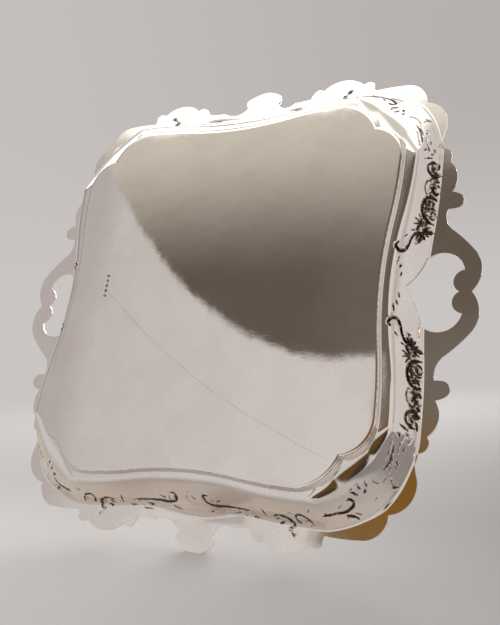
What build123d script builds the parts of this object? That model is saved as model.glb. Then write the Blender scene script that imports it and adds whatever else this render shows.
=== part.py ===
from build123d import *
import os

# Two-handled silver tray, in millimetres. It lies on its base: X runs from handle to handle,
# Y runs front to back, Z is up, and the origin is the middle of the base panel's underside.
# The tray is the same about both the XZ and the YZ plane, so every outline below is one quarter.

# Heights of the underside
STEP_HEIGHT = 4.5       # the ledge, where it leaves the foot of the step round the panel
CREASE_HEIGHT = 6.5     # the crease, where the sloping border leaves the ledge
RIM_HEIGHT = 37.7       # the flat rim and the handles
CREST_RISE = 12.0       # how far the rim lifts in the middle of the front and of the back
CREST_REACH = 75.0      # how far from the middle that lift begins

# Thicknesses, all measured upwards
PANEL_GAUGE = 1.2       # sheet of the well
BORDER_GAUGE = 1.6      # stamped sheet of the border and rim
MOUNT_DEPTH = 3.0       # cast mounts soldered on top of the rim
MOUNT_INSET = 2.0       # how far up the border's line of slope a mount's inner edge is set out

# Seams, as distances from the tray's two middle planes
BORDER_SEAM_Y = 80.0    # between the handle borders and the corner borders
BORDER_SEAM_X = 62.0    # between the crest borders and the corner borders
HANDLE_MOUNT_Y = 94.0   # between the handle mounts and the side scroll mounts
SCROLL_MOUNT_Y = 170.0  # between the side scroll mounts and the corner mounts
CREST_MOUNT_X = 50.0    # between the crest mounts and the long scroll mounts
SCROLL_MOUNT_X = 158.0  # between the long scroll mounts and the corner mounts

# Larger than the tray, for cutting
REACH = 330.0
TALL = 70.0

# Quarter outlines, from the X axis round to the Y axis. Each stretch ends at (x, y) and is an arc
# that stands out from its chord by the third number, away from the middle when it is positive.
PANEL = [
    (202.8, 0.0, 0.0),
    (208.0, 72.5, -1.3),
    (213.2, 145.0, 1.3),
    (180.0, 183.5, 9.2),        # corner lobes, either side of the panel's corner notch
    (138.0, 217.8, 7.3),
    (69.0, 212.6, 1.3),
    (0.0, 207.4, -1.3),
]
STEP = [
    (207.6, 0.0, 0.0),
    (212.8, 72.5, -1.3),
    (218.0, 145.0, 1.3),
    (184.2, 188.0, 10.8),
    (138.0, 222.6, 8.2),
    (69.0, 217.4, 1.3),
    (0.0, 212.2, -1.3),
]
CREASE = [
    (214.0, 0.0, 0.0),
    (221.5, 76.0, -1.8),
    (229.0, 152.0, 1.8),
    (194.0, 196.0, 4.0),
    (152.0, 230.0, 3.0),
    (76.0, 224.0, 1.8),
    (0.0, 218.0, -1.8),
]
RIM_EDGE = [
    (240.0, 0.0, 0.0),
    (243.5, 70.0, -0.9),
    (246.5, 148.0, 0.9),
    (218.5, 223.5, 8.0),
    (160.0, 251.0, 5.0),
    (80.0, 246.0, 1.2),
    (0.0, 241.0, -1.2),
]
RIM = [
    (288.5, 0.0, 0.0),
    (290.0, 45.0, 8.6),         # handle lobe
    (266.0, 69.0, 0.8),
    (257.4, 95.0, -4.6),        # waist
    (267.0, 95.6, 0.3),         # large bud
    (270.4, 111.4, 5.0),
    (260.0, 115.5, 0.6),
    (254.8, 152.5, 7.3),        # side C-scroll
    (252.4, 167.8, 3.2),        # small bud
    (243.2, 169.4, 0.8),
    (246.3, 190.0, -0.6),
    (222.5, 231.5, 11.8),       # corner lobes, either side of the corner notch
    (196.0, 258.5, 8.2),
    (158.0, 257.8, 0.8),
    (156.5, 267.5, -0.8),       # small bud
    (143.0, 268.5, 3.2),
    (90.0, 268.5, 10.4),        # long C-scroll
    (76.5, 266.5, 4.0),         # large bud
    (74.0, 260.0, 0.6),
    (51.0, 260.5, -1.0),
    (22.0, 269.5, -7.2),        # hollow beside the crest
    (23.5, 281.0, 2.2),         # hooked side of the crest
    (9.0, 289.5, 0.8),
    (0.0, 291.5, 0.6),
]
FINGER_HOLE = [
    (276.0, 0.0, 0.0),
    (280.5, 24.0, -9.0),        # scroll end that curls into the hole
    (240.0, 38.0, 12.4),
    (225.6, 0.0, -1.8),
]

LEFT_RIGHT = {"right": None, "left": Plane.YZ}
FRONT_BACK = {"back": None, "front": Plane.XZ}


def quarter(stretches):
    """One quarter of an outline, as a face closed along the X and Y axes."""
    with BuildSketch() as sketch:
        with BuildLine():
            start = stretches[0][:2]
            for x, y, bulge in stretches[1:]:
                if bulge == 0:
                    Line(start, (x, y))
                else:
                    SagittaArc(start, (x, y), -bulge)
                start = (x, y)
            Polyline(start, (0, 0), stretches[0][:2])
        make_face()
    return sketch.sketch


def slope_outline(height):
    """The border's underside at one height, on the straight line from the crease to the rim."""
    share = (height - CREASE_HEIGHT) / (RIM_HEIGHT - CREASE_HEIGHT)
    return [
        tuple(low + share * (high - low) for low, high in zip(crease, edge))
        for crease, edge in zip(CREASE, RIM_EDGE)
    ]


def block(x_from, x_to, y_from, y_to):
    """What stands between two X planes and two Y planes."""
    with BuildPart() as between:
        with BuildSketch(Plane.XY.offset(-TALL)):
            with Locations(((x_from + x_to) / 2, (y_from + y_to) / 2)):
                Rectangle(x_to - x_from, y_to - y_from)
        extrude(amount=3 * TALL)
    return between.part


def above_rim(lift):
    """A quarter of everything above the rim's underside, moved up by lift."""
    base = RIM_HEIGHT + lift
    with BuildPart() as above:
        with BuildSketch(Plane.XZ):
            with BuildLine():
                fall = SagittaArc((0, base + CREST_RISE), (CREST_REACH / 2, base + CREST_RISE / 2), 1.5)
                run_out = SagittaArc(fall @ 1, (CREST_REACH, base), -1.5)
                Polyline(run_out @ 1, (REACH, base), (REACH, TALL), (0, TALL), fall @ 0)
            make_face()
        extrude(amount=-REACH)
    return above.part


def save(part, name):
    """Write one finished piece."""
    part.label = name
    export_step(part, f"parts/{name}.step")
    print(f"{name}: {part.volume:.0f} mm3")


def save_pair(part, stem, near, far):
    """Write a piece that crosses one middle plane, and its twin, turned half round about Z."""
    save(part, f"{stem}_{near}")
    save(part.rotate(Axis.Z, 180), f"{stem}_{far}")


def save_four(part, stem):
    """Write a back right piece and its three images, turned or mirrored into the other quarters."""
    save(part, f"{stem}_back_right")
    save(part.rotate(Axis.Z, 180), f"{stem}_front_left")
    save(part.mirror(Plane.YZ), f"{stem}_back_left")
    save(part.mirror(Plane.XZ), f"{stem}_front_right")


os.makedirs("parts", exist_ok=True)

# The well: a flat panel, a step round it and a narrow ledge, raised from one sheet.
with BuildPart() as well_form:
    for height, outline in ((0, PANEL), (STEP_HEIGHT, STEP), (CREASE_HEIGHT, CREASE)):
        with BuildSketch(Plane.XY.offset(height)):
            add(quarter(outline))
    loft(ruled=True)
    with BuildSketch(Plane.XY.offset(CREASE_HEIGHT)):
        add(quarter(CREASE))
    extrude(amount=TALL)

with BuildPart() as well_sheet:
    add(well_form.part)
    add(well_form.part.moved(Location((0, 0, PANEL_GAUGE))), mode=Mode.SUBTRACT)
    mirror(about=Plane.XZ)
    mirror(about=Plane.YZ)

save(well_sheet.part, "well_sheet")

# One quarter of the border: a stamped sheet that slopes up from the crease and ends in the rim.
with BuildPart() as border_form:
    for height in (CREASE_HEIGHT, TALL):
        with BuildSketch(Plane.XY.offset(height)):
            add(quarter(slope_outline(height)))
    loft(ruled=True)
    add(above_rim(0))

with BuildPart() as border_quarter:
    add(border_form.part)
    add(border_form.part.moved(Location((0, 0, BORDER_GAUGE))), mode=Mode.SUBTRACT)
    with BuildSketch():
        add(quarter(RIM))
    extrude(amount=TALL - 1, mode=Mode.INTERSECT)
    with BuildSketch():
        add(quarter(FINGER_HOLE))
        add(quarter(CREASE))
    extrude(amount=TALL, mode=Mode.SUBTRACT)

# The border is soldered up from eight sections, four of them across a middle plane.
with BuildPart() as handle_border:
    add(border_quarter.part)
    add(block(BORDER_SEAM_X, REACH, 0, BORDER_SEAM_Y), mode=Mode.INTERSECT)
    mirror(about=Plane.XZ)

with BuildPart() as crest_border:
    add(border_quarter.part)
    add(block(0, BORDER_SEAM_X, BORDER_SEAM_Y, REACH), mode=Mode.INTERSECT)
    mirror(about=Plane.YZ)

with BuildPart() as corner_border:
    add(border_quarter.part)
    add(block(BORDER_SEAM_X, REACH, BORDER_SEAM_Y, REACH), mode=Mode.INTERSECT)

save_pair(handle_border.part, "handle_border", "right", "left")
save_pair(crest_border.part, "crest_border", "back", "front")
save_four(corner_border.part, "corner_border")

# One quarter of the cast mounts, which lie on top of the rim and share its outline.
mount_form = above_rim(BORDER_GAUGE)

with BuildPart() as mount_quarter:
    add(mount_form)
    add(mount_form.moved(Location((0, 0, MOUNT_DEPTH))), mode=Mode.SUBTRACT)
    with BuildSketch():
        add(quarter(RIM))
    extrude(amount=TALL - 1, mode=Mode.INTERSECT)
    with BuildSketch():
        add(quarter(FINGER_HOLE))
        add(quarter(slope_outline(RIM_HEIGHT + MOUNT_INSET)))
    extrude(amount=TALL, mode=Mode.SUBTRACT)

with BuildPart() as handle_mount:
    add(mount_quarter.part)
    add(block(CREST_MOUNT_X, REACH, 0, HANDLE_MOUNT_Y), mode=Mode.INTERSECT)
    mirror(about=Plane.XZ)

with BuildPart() as crest_mount:
    add(mount_quarter.part)
    add(block(0, CREST_MOUNT_X, HANDLE_MOUNT_Y, REACH), mode=Mode.INTERSECT)
    with BuildSketch():
        add(quarter(slope_outline(RIM_HEIGHT + CREST_RISE + MOUNT_INSET)))
    extrude(amount=TALL, mode=Mode.SUBTRACT)
    mirror(about=Plane.YZ)

with BuildPart() as side_scroll_mount:
    add(mount_quarter.part)
    add(block(SCROLL_MOUNT_X, REACH, HANDLE_MOUNT_Y, SCROLL_MOUNT_Y), mode=Mode.INTERSECT)

with BuildPart() as long_scroll_mount:
    add(mount_quarter.part)
    add(block(CREST_MOUNT_X, SCROLL_MOUNT_X, SCROLL_MOUNT_Y, REACH), mode=Mode.INTERSECT)

with BuildPart() as corner_mount:
    add(mount_quarter.part)
    add(block(SCROLL_MOUNT_X, REACH, SCROLL_MOUNT_Y, REACH), mode=Mode.INTERSECT)

save_pair(handle_mount.part, "handle_mount", "right", "left")
save_pair(crest_mount.part, "crest_mount", "back", "front")
save_four(side_scroll_mount.part, "side_scroll_mount")
save_four(long_scroll_mount.part, "long_scroll_mount")
save_four(corner_mount.part, "corner_mount")
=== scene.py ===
"""The looks of a two-handled silver tray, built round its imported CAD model."""
from collections import namedtuple
import math

import bpy
import numpy as np
from mathutils import Matrix, Vector
from mathutils.geometry import delaunay_2d_cdt

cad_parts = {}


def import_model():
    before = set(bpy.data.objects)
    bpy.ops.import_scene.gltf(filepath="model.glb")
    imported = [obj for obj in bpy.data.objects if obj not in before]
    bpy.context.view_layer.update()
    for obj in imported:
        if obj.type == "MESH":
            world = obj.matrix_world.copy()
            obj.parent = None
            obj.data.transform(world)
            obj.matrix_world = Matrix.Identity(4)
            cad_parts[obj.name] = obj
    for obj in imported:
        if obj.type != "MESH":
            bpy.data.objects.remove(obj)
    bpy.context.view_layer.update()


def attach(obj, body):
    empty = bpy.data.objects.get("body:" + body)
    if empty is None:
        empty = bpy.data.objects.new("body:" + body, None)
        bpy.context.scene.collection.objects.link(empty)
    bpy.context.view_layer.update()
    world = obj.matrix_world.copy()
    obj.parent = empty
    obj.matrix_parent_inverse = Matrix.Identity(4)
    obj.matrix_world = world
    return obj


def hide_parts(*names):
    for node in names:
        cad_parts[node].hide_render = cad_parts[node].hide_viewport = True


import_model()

MM = 0.001

# ---- the tray's form, in millimetres
# The tray lies on its base: X runs from handle to handle, Y from front to back, Z is up.

STEP_HEIGHT = 5.4  # underside of the ledge
STEP_SHARE = 0.68  # how much of the way from panel to step the riser takes up
CREASE_HEIGHT = 6.5  # the crease, where the sloping border leaves the ledge
CREASE_ROUND = 4.4  # how softly the ledge turns up into the slope
CORNER_ROUND = 7.5  # and how much more softly in the corners
SLOPE_SAG = 0.28  # how much shallower the slope is at its foot
SLOPE_RUN = 25.0  # how wide the slope is in plan
CORNER_RUN = 12.0  # and how much wider in the corners
CORNER_BAND = (30, 85)  # distances from the diagonal over which a corner ends
CORNER_ONSET = (330, 380)  # and sums of x and y over which it begins
RIM_ROUND = 3.5  # how softly the slope turns into the rim
RIM_HEIGHT = 37.7  # the flat rim and the handles
CREST_RISE = 12.0  # how far the rim lifts in the middle of the front and of the back
CREST_REACH = 75.0  # how far along from the middle that lift begins
CREST_FROM = 150.0  # and how far out the front and back rims are
CREST_CURL = 0.12  # how steeply the rim turns up outside the crests
CURL_FROM = 250.0  # distance from the tray's middle at which it begins to
CURL_ONSET = 10.0  # how gradually
CURL_SIDES = (70, 95)  # where beside a crest it runs out

PANEL_GAUGE = 1.2  # sheet of the well
BORDER_GAUGE = 1.6  # sheet of the border and rim
MOUNT_INSET = 2.0  # how far up the slope's line a mount's inner edge is set out

# Seams, as distances from the tray's two middle planes: where each kind of piece ends
BORDER_SEAM_Y = 80.0  # handle borders
BORDER_SEAM_X = 62.0  # crest borders
HANDLE_MOUNT_Y = 94.0  # handle mounts
SCROLL_MOUNT_Y = 170.0  # side scroll mounts
CREST_MOUNT_X = 50.0  # crest mounts
SCROLL_MOUNT_X = 158.0  # long scroll mounts

# Quarter outlines, from the X axis round to the Y axis: each stretch ends at (x, y) and stands
# out from its chord by the third number.
PANEL = [
    (202.8, 0, 0), (208, 72.5, -1.3), (213.2, 145, 1.3), (180, 183.5, 9.2),
    (138, 217.8, 7.3), (69, 212.6, 1.3), (0, 207.4, -1.3),
]
STEP = [
    (207.6, 0, 0), (212.8, 72.5, -1.3), (218, 145, 1.3), (184.2, 188, 10.8),
    (138, 222.6, 8.2), (69, 217.4, 1.3), (0, 212.2, -1.3),
]
CREASE = [
    (214, 0, 0), (221.5, 76, -1.8), (229, 152, 1.8), (194, 196, 1.5),
    (152, 230, 1.5), (76, 224, 1.8), (0, 218, -1.8),
]
RIM_EDGE = [
    (240, 0, 0), (243.5, 70, -0.9), (246.5, 148, 0.9), (218.5, 223.5, 8),
    (160, 251, 5), (80, 246, 1.2), (0, 241, -1.2),
]
RIM = [
    (288.5, 0, 0), (290, 45, 8.6), (266, 69, 0.8), (257.4, 95, -4.6),
    (267, 95.6, 0.3), (270.4, 111.4, 5), (260, 115.5, 0.6), (254.8, 152.5, 7.3),
    (252.4, 167.8, 3.2), (243.2, 169.4, 0.8), (246.3, 190, -0.6), (222.5, 231.5, 11.8),
    (196, 258.5, 8.2), (158, 257.8, 0.8), (156.5, 267.5, -0.8), (143, 268.5, 3.2),
    (90, 268.5, 10.4), (76.5, 266.5, 4), (74, 260, 0.6), (51, 260.5, -1),
    (22, 269.5, -7.2), (23.5, 281, 2.2), (9, 289.5, 0.8), (0, 291.5, 0.6),
]
FINGER_HOLE = [(276, 0, 0), (280.5, 24, -9), (240, 38, 12.4), (225.6, 0, -1.8)]

# The slope's rulings join these two outlines, stretch by stretch. Where the foot stays at a kink of
# the crease, the rulings fan out from it and round the sheet into the corner.
SLOPE_FOOT = CREASE[:3] + [(229, 152, 0)] + CREASE[3:5] + [(152, 230, 0)] + CREASE[5:]
SLOPE_TOP = RIM_EDGE[:3] + [
    (240.5, 185, 2), (218.5, 223.5, 2.3), (195, 239, 0.9), (160, 251, 1.5),
] + RIM_EDGE[5:]

# Distances between mesh points
FINE = 0.8  # on the ornamented slope
COARSE = 2.6  # on the plain rim
MOUNT_FINE = 1.0  # on the cast mounts
PANEL_COARSE = 16.0  # on the flat panel
PUNCH_FINE = 0.3  # round the punch marks


# ---- outlines

def arc(start, end, bulge, count):
    """Points after start on the arc to end."""
    start, end = np.array(start, float), np.array(end, float)
    length = np.linalg.norm(end - start)
    if length == 0:
        return np.repeat(start[None], count, axis=0)
    direction = (end - start) / length
    outward = np.array([direction[1], -direction[0]])
    turn = np.linspace(-1, 1, count + 1)[1:, None]
    if abs(bulge) < 1e-9:
        return start + direction * length * (1 + turn) / 2
    half = 2 * math.atan(2 * bulge / length)
    along = length / 2 * (1 + np.sin(half * turn) / math.sin(half))
    out = length / (2 * math.sin(half)) * (np.cos(half * turn) - math.cos(half))
    return start + direction * along + outward * out


def trace(stretches, spacing=None, count=None):
    """A quarter outline as points, either spaced evenly or with a fixed count to a stretch."""
    points = [np.array([stretches[0][:2]], float)]
    start = stretches[0][:2]
    for x, y, bulge in stretches[1:]:
        number = count or max(2, round(math.dist(start, (x, y)) * 1.05 / spacing))
        points.append(arc(start, (x, y), bulge, number))
        start = (x, y)
    return np.vstack(points)


def clip(points, axis, limit, above):
    """The part of an outline on one side of a seam, ending exactly on the seam."""
    inside = points[:, axis] >= limit if above else points[:, axis] <= limit
    first, last = np.flatnonzero(inside)[[0, -1]]
    kept = [points[first:last + 1]]
    if first > 0:
        kept.insert(0, crossing(points[first - 1], points[first], axis, limit)[None])
    if last < len(points) - 1:
        kept.append(crossing(points[last], points[last + 1], axis, limit)[None])
    return np.vstack(kept)


def crossing(before, after, axis, limit):
    """Where the line between two points meets a seam."""
    share = (limit - before[axis]) / (after[axis] - before[axis])
    return before + share * (after - before)


def within(run, seams):
    """The part of an outline between seams, each given as for clip."""
    for axis, limit, above in seams:
        run = clip(run, axis, limit, above)
    return run


def closed(spacing, inner, outer, hole):
    """One closed loop along a piece's inner edge and back along its outer edge and its hole."""
    corners = np.vstack([inner, outer[::-1]] + ([] if hole is None else [hole]))
    loop = []
    for here, there in zip(corners, np.roll(corners, -1, axis=0)):
        length = np.linalg.norm(there - here)
        if length < 1e-6:
            continue
        count = max(1, round(length / spacing))
        loop.append(here + (there - here) * np.arange(count)[:, None] / count)
    return np.vstack(loop)


def nearest(points, path):
    """Distance from each point to a polyline, and how far along the polyline that is, from 0 to 1."""
    start, step = path[:-1], np.diff(path, axis=0)
    length = np.maximum(np.linalg.norm(step, axis=1), 1e-9)
    travelled = np.concatenate([[0], np.cumsum(length)])
    best = np.full(len(points), np.inf)
    place = np.zeros(len(points))
    for begin, vector, size, before in zip(start, step, length, travelled):
        share = np.clip(((points - begin) @ vector) / size ** 2, 0, 1)
        distance = np.linalg.norm(points - begin - share[:, None] * vector, axis=1)
        closer = distance < best
        best[closer] = distance[closer]
        place[closer] = before + share[closer] * size
    return best, place / travelled[-1]


# ---- the border's base surface

RAIL_COUNT = 24  # points to a stretch
RAIL_NUDGE = 0.02  # how far along a rail to look for its direction, in stretches
CREASE_RAIL = trace(CREASE, count=RAIL_COUNT)
EDGE_RAIL = trace(RIM_EDGE, count=RAIL_COUNT)
FOOT_RAIL = trace(SLOPE_FOOT, count=RAIL_COUNT)
TOP_RAIL = trace(SLOPE_TOP, count=RAIL_COUNT)
RAIL_STOPS = np.linspace(0, len(SLOPE_FOOT) - 1, len(FOOT_RAIL))


def on_rail(rail, place):
    """Points of a rail at places counted in stretches."""
    return np.stack([np.interp(place, RAIL_STOPS, rail[:, axis]) for axis in (0, 1)], axis=1)


def slope_share(x, y):
    """How far up the ruled slope each plan point is: 0 at the crease, 1 at the rim's edge."""
    point = np.stack([np.abs(x), np.abs(y)], axis=1)
    middle = (FOOT_RAIL + TOP_RAIL) / 2
    angle = np.arctan2(point[:, 1], point[:, 0])
    place = np.interp(angle, np.arctan2(middle[:, 1], middle[:, 0]), RAIL_STOPS)
    share = np.zeros(len(point))

    def ruled(at):
        held = np.clip(share, 0, 1.4)[:, None]
        return on_rail(FOOT_RAIL, at) * (1 - held) + on_rail(TOP_RAIL, at) * held

    # Short steps along the rails, until each point lies on the ruling at its place.
    for _ in range(16):
        low = on_rail(FOOT_RAIL, place)
        line = on_rail(TOP_RAIL, place) - low
        share = ((point - low) * line).sum(1) / (line ** 2).sum(1)
        tangent = (ruled(place + RAIL_NUDGE) - ruled(place - RAIL_NUDGE)) / (2 * RAIL_NUDGE)
        off = point - low - share[:, None] * line
        moved = (off * tangent).sum(1) / np.maximum((tangent ** 2).sum(1), 1e-6)
        place = np.clip(place + np.clip(0.8 * moved, -0.25, 0.25), 0, RAIL_STOPS[-1])
    return share


def ramp(value, low, high):
    """0 below low, 1 above high, and a smooth rise between them."""
    share = np.clip((value - low) / (high - low), 0, 1)
    return share * share * (3 - 2 * share)


def crest_rise(x, y):
    """How much the rim is lifted near the middle of the front and of the back."""
    lift = CREST_RISE * (1 + np.cos(math.pi * np.clip(np.abs(x) / CREST_REACH, 0, 1))) / 2
    outside = np.clip(np.abs(y) - CURL_FROM, 0, None)
    curve, line = outside ** 2 / (2 * CURL_ONSET), outside - CURL_ONSET / 2
    curl = CREST_CURL * np.where(outside < CURL_ONSET, curve, line)
    return (lift + curl * (1 - ramp(np.abs(x), *CURL_SIDES))) * (np.abs(y) > CREST_FROM)


def lower_of(a, b, blend):
    """The lower of two heights, rounded where they meet."""
    near = np.clip(blend - np.abs(a - b), 0, None) / blend
    return np.minimum(a, b) - near ** 2 * blend / 4


def border_base(x, y):
    """The plain underside of ledge, slope and rim, rounded where they meet."""
    share = slope_share(x, y)
    bent = share * (1 - SLOPE_SAG + SLOPE_SAG * np.clip(share, 0, 1))
    slope = STEP_HEIGHT + (RIM_HEIGHT - STEP_HEIGHT) * bent
    return lower_of(above_ledge(slope, x, y), RIM_HEIGHT + crest_rise(x, y), RIM_ROUND)


def cornered(x, y):
    """1 in the middle of a corner, and 0 away from it."""
    x, y = np.abs(x), np.abs(y)
    return (1 - ramp(np.abs(y - x), *CORNER_BAND)) * ramp(x + y, *CORNER_ONSET)


def above_ledge(slope, x, y):
    """The slope's line, rounded off into the ledge, most of all in the corners."""
    blend = CREASE_ROUND + CORNER_ROUND * cornered(x, y)
    return -lower_of(-slope, np.full(len(slope), -STEP_HEIGHT), blend)


def ledge_base(plan):
    """The plain underside of the ledge, which begins to turn up before the crease."""
    x, y = plan[:, 0], plan[:, 1]
    distance, _ = nearest(plan, CREASE_RAIL)
    run = SLOPE_RUN + CORNER_RUN * cornered(x, y)
    rise = (RIM_HEIGHT - STEP_HEIGHT) * (1 - SLOPE_SAG) / run
    return above_ledge(STEP_HEIGHT - rise * distance, x, y)


# ---- ornament
# A stroke is a tapered groove seen from beneath, and a ridge seen from the front. Its width is
# half across, and fat is how far along it is thickest.

Stroke = namedtuple("Stroke", "path width depth fat")


def stroke(points, width, depth=2.0, fat=0.5):
    """A stroke that runs smoothly through the given points."""
    through = np.array(points, float)
    through = np.vstack([2 * through[0] - through[1], through, 2 * through[-1] - through[-2]])
    step = np.linspace(0, 1, 6, endpoint=False)[:, None]
    parts = [
        0.5 * (2 * b + (c - a) * step + (2 * a - 5 * b + 4 * c - d) * step ** 2
               + (3 * b - a - 3 * c + d) * step ** 3)
        for a, b, c, d in zip(through, through[1:], through[2:], through[3:])
    ]
    return Stroke(np.vstack(parts + [through[-2:-1]]), width, depth, fat)


def drop(centre, length, angle, width, depth=1.6, fat=0.4):
    """A short teardrop."""
    half = length / 2 * np.array([math.cos(math.radians(angle)), math.sin(math.radians(angle))])
    return stroke([centre - half, centre + half], width, depth, fat)


def drops(*rows):
    """Several teardrops, each given as (x, y, length, angle, width) with or without depth and fat."""
    return [drop(row[:2], *row[2:]) for row in rows]


def spiral(centre, radius, end_radius, start, end, width, depth=2.0, fat=0.5):
    """A curl about a centre, from one bearing to another in degrees."""
    bearing = np.radians(np.linspace(start, end, max(5, int(abs(end - start) / 30) + 1)))
    reach = np.linspace(radius, end_radius, len(bearing))
    ray = np.stack([np.cos(bearing), np.sin(bearing)], 1)
    return stroke(centre + reach[:, None] * ray, width, depth, fat)


def fan(centre, inner, outer, start, end, count, width, depth=1.4):
    """Strokes that spread from a point, like the lobes of a leaf or the flutes of a shell."""
    centre = np.array(centre, float)
    lobes = []
    for bearing in np.radians(np.linspace(start, end, count)):
        ray = np.array([math.cos(bearing), math.sin(bearing)])
        lobes.append(stroke([centre + inner * ray, centre + outer * ray], width, depth, 0.7))
    return lobes


def taper(place, fat):
    """A stroke's width along its length, as a share of its greatest."""
    before, after = place / max(fat, 0.01), (1 - place) / max(1 - fat, 0.01)
    return 0.3 + 0.7 * np.sqrt(np.clip(np.where(place < fat, before, after), 0, 1))


def ridge(share):
    """A rounded ridge of unit height, from -1 to 1."""
    return np.clip(1 - share ** 2, 0, None) ** 0.8


def peak(value, middle, spread):
    """A smooth peak of unit height."""
    return np.exp(-((value - middle) / spread) ** 2)


LIP_AT = 1.3  # where a stroke's edge is, to its half width
LIP_SPREAD = 0.35  # and how wide that edge is


def cut_of(a, v, strokes):
    """Depth of the strokes at chart points, and how near each point is to a stroke's edge."""
    depth = np.zeros(len(a))
    edge = np.zeros(len(a))
    for one in strokes:
        reach = 2.2 * one.width
        low, high = one.path.min(0) - reach, one.path.max(0) + reach
        near = np.flatnonzero((a > low[0]) & (a < high[0]) & (v > low[1]) & (v < high[1]))
        if near.size == 0:
            continue
        distance, place = nearest(np.stack([a[near], v[near]], 1), one.path)
        share = distance / (one.width * taper(place, one.fat))
        depth[near] = np.maximum(depth[near], one.depth * ridge(share))
        edge[near] = np.maximum(edge[near], one.depth * peak(share, LIP_AT, LIP_SPREAD))
    return depth, edge


# Charts: a runs along a side from its middle, v up the slope from the crease, both in mm.
HANDLE_SIDE = [
    *drops(
        (11.5, 10.5, 5, 15, 1.7), (20, 8.5, 5.5, 25, 1.8), (26, 4.3, 8, 12, 1.7),
        (33, 2.5, 3, 0, 1, 1), (54, 7.5, 6.5, 50, 1.2), (127, 34, 9, 70, 1.8, 2),
        (106, 38, 6, 110, 1.3, 1.5), (144, 32, 8, 12, 1.8, 2.2), (156.5, 15, 6, 55, 1.5, 1.8),
        (155, 24, 8, 60, 1.1, 1.2),
    ),
    stroke([(47, 0.5), (42.5, -1.8), (37.8, 2), (37, 7), (39.5, 11), (45, 13.5), (52, 15), (58, 18),
            (63, 23)], 2.1, 2.4, 0.35),
    *fan((66, 24), 3, 12, 60, 250, 8, 1.1, 1.7),
    stroke([(66, 27), (66, 34), (68, 42.5)], 2.8, 2.6, 0.4),
    *fan((74, 24), 2, 11, -150, -40, 4, 1.1, 1.6),
    stroke([(76, 39), (78, 28), (84, 21), (93, 18.5), (101, 21), (106, 28), (104, 36)], 1.7, 2.4, 0.6),
    spiral((87, 33), 6, 1.5, 200, -120, 1.2, 2.2, 0.4),
    *fan((95, 29), 2, 8, -40, 110, 3, 1, 1.7),
    stroke([(80, 26), (88, 23.5), (96, 24.5), (101, 29)], 0.8, 1.2),
    spiral((116, 31), 7.5, 2, 20, 370, 1.6, 2.4, 0.35),
    stroke([(107, 20), (114, 17.5), (121, 19), (126, 24)], 1.2, 1.5, 0.6),
    stroke([(134, 27), (134.5, 35), (133, 42.5)], 2.4, 2.6, 0.4),
    stroke([(147, 30), (145, 22), (139, 17.5), (133, 19), (130, 25), (131, 31)], 1.6, 2.2, 0.55),
    stroke([(134, 28), (138, 23.5), (142, 28)], 1, 1.2),
    stroke([(146, 11), (148.5, 17), (151, 23)], 1.4, 1.8),
]
# The long sides are chased more finely than drawn here.
LONG_FINER = 0.8
LONG_SIDE = [one._replace(width=LONG_FINER * one.width, depth=LONG_FINER * one.depth) for one in (
    *drops(
        (5, 27, 9, 50, 1.3), (3.2, 31, 9, 108, 1, 1.4), (0, 18, 5, 90, 1.2, 1.2),
        (36.5, 27, 9, -28, 1.4), (24, 41.5, 10, -20, 1.5), (43, 41, 5, 15, 1.3, 1.2),
        (57, 38, 8, -15, 1.8, 2), (67, 39, 4, 0, 1.2, 1), (80, 38, 8, -5, 1.5),
        (78.5, 25, 5, 0, 1.2, 1), (82.5, 29, 6, 80, 0.9, 1), (96.5, 32, 7, 75, 1, 1),
        (110.5, 37, 6, -30, 1.9, 2), (126.5, 47, 7, 80, 1.5, 1.4), (144.5, 35, 6, -30, 1.2, 1.2),
        (125, 21, 6, 5, 1.4, 1.2), (147, 13.5, 7, -55, 1.8, 1.4),
    ),
    stroke([(24, 21.5), (19.5, 21.5), (17.8, 26), (20, 32), (28, 35), (42, 33.5), (55, 31.7),
            (76, 30.5)], 2.3, 2.4, 0.16),
    stroke([(24, 24), (28, 28), (27.5, 32.5)], 0.9, 1),
    stroke([(93, 34), (91.8, 28), (90, 22.5)], 1.7, 2, 0.6),
    stroke([(118, 42), (124, 39), (123, 32), (118, 27.5), (111, 26), (103, 28.5)], 2.3, 2.4, 0.45),
    stroke([(112, 33), (107, 31), (104, 35)], 1, 1),
    stroke([(147.5, 34), (144, 26), (137, 20.5), (131, 22), (129.5, 28), (133, 34)], 1.9, 2.3, 0.6),
    stroke([(163, 23), (167, 28), (171, 31)], 1.3, 1.6),
    stroke([(152, 20), (158, 27), (162, 36)], 0.8, 0.8),
)]
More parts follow.
